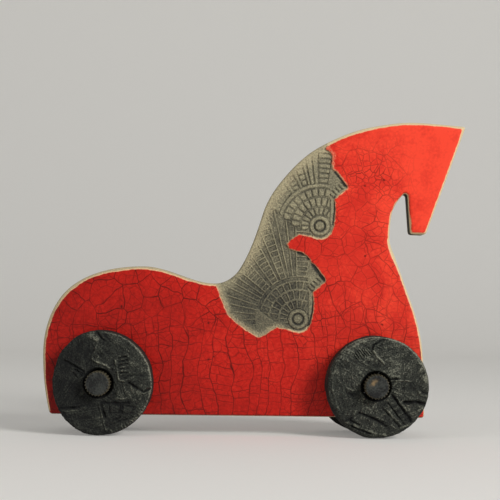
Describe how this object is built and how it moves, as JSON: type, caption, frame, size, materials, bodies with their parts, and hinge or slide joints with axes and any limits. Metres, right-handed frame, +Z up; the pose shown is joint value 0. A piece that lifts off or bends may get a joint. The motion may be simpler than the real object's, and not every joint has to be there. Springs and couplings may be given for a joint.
{
  "type": "wheeled toy horse",
  "caption": "Slab-cut raku clay horse with red crackle glaze and a bare stamped mane, standing on free-rolling clay disc wheels glued to fluted dowel axles.",
  "frame": {"origin": "on the floor under the wheels, at the middle of the horse's length and of its width across the axle ends", "axes": "+X towards the horse's head, +Y towards its right side, +Z up"},
  "size_m": [0.195, 0.06, 0.1458],
  "materials": {
    "smoked_clay_body": "matt smoked raku clay, paler where the glaze breaks at the rim",
    "red_crackle_glaze": "glossy red raku glaze with a dark crackle",
    "fluted_dowel": "stained fluted beech dowel",
    "black_smoked_clay": "matt black smoked clay, stamped"
  },
  "bodies": {
    "horse": {"body_slab": "smoked_clay_body", "near_glaze": "red_crackle_glaze", "far_glaze": "red_crackle_glaze"},
    "rear_wheelset": {"rear_axle": "fluted_dowel", "near_rear_wheel": "black_smoked_clay", "far_rear_wheel": "black_smoked_clay"},
    "front_wheelset": {"front_axle": "fluted_dowel", "near_front_wheel": "black_smoked_clay", "far_front_wheel": "black_smoked_clay"}
  },
  "joints": [
    {"name": "rear_wheelset_spin", "type": "hinge", "parent": "horse", "child": "rear_wheelset", "pos_m": [-0.07, 0, 0.024], "axis": [0, 1, 0], "continuous": true},
    {"name": "front_wheelset_spin", "type": "hinge", "parent": "horse", "child": "front_wheelset", "pos_m": [0.056, 0, 0.024], "axis": [0, 1, 0], "continuous": true}
  ]
}
